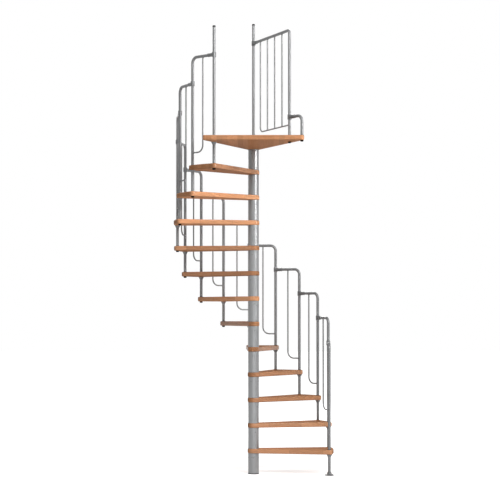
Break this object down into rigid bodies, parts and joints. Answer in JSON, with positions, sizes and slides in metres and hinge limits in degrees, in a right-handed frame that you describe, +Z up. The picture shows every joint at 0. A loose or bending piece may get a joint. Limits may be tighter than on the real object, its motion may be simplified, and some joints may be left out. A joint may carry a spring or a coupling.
{
  "type": "spiral staircase",
  "caption": "Spiral staircase of wooden wedge treads on a stacked tube column, with a bent-tube railing and a triangular landing on top.",
  "frame": {"origin": "on the floor at the column's axis, the middle of the base plate's underside", "axes": "+Z up the column; the landing's front edge faces -Y; the first post stands near +X"},
  "size_m": [1.3887, 1.4238, 3.923],
  "materials": {
    "steel_tube": "silver-grey lacquer on steel tube, satin to glossy",
    "beech": "clear-lacquered beech, straight grain",
    "fitting": "grey lacquer, satin",
    "plug": "black moulded plug"
  },
  "bodies": {
    "root": {"column_base": "fitting", "column_spacer_01": "steel_tube", "column_spacer_02": "steel_tube", "column_spacer_03": "steel_tube", "column_spacer_04": "steel_tube", "column_spacer_05": "steel_tube", "column_spacer_06": "steel_tube", "column_spacer_07": "steel_tube", "column_spacer_08": "steel_tube", "column_spacer_09": "steel_tube", "column_spacer_10": "steel_tube", "column_spacer_11": "steel_tube", "column_spacer_12": "steel_tube", "column_spacer_13": "steel_tube", "tread_01": "beech", "tread_02": "beech", "tread_03": "beech", "tread_04": "beech", "tread_05": "beech", "tread_06": "beech", "tread_07": "beech", "tread_08": "beech", "tread_09": "beech", "tread_10": "beech", "tread_11": "beech", "tread_12": "beech", "landing": "beech", "railing_01": "steel_tube", "railing_02": "steel_tube", "railing_03": "steel_tube", "railing_04": "steel_tube", "railing_05": "steel_tube", "railing_06": "steel_tube", "railing_07": "steel_tube", "railing_08": "steel_tube", "railing_09": "steel_tube", "railing_10": "steel_tube", "railing_11": "steel_tube", "railing_12": "steel_tube", "landing_post": "steel_tube", "newel_post": "steel_tube", "landing_panel": "steel_tube", "corner_loop": "steel_tube", "floor_foot": "fitting", "post_collars": "fitting", "post_caps": "plug", "rail_sockets": "fitting"}
  },
  "joints": []
}
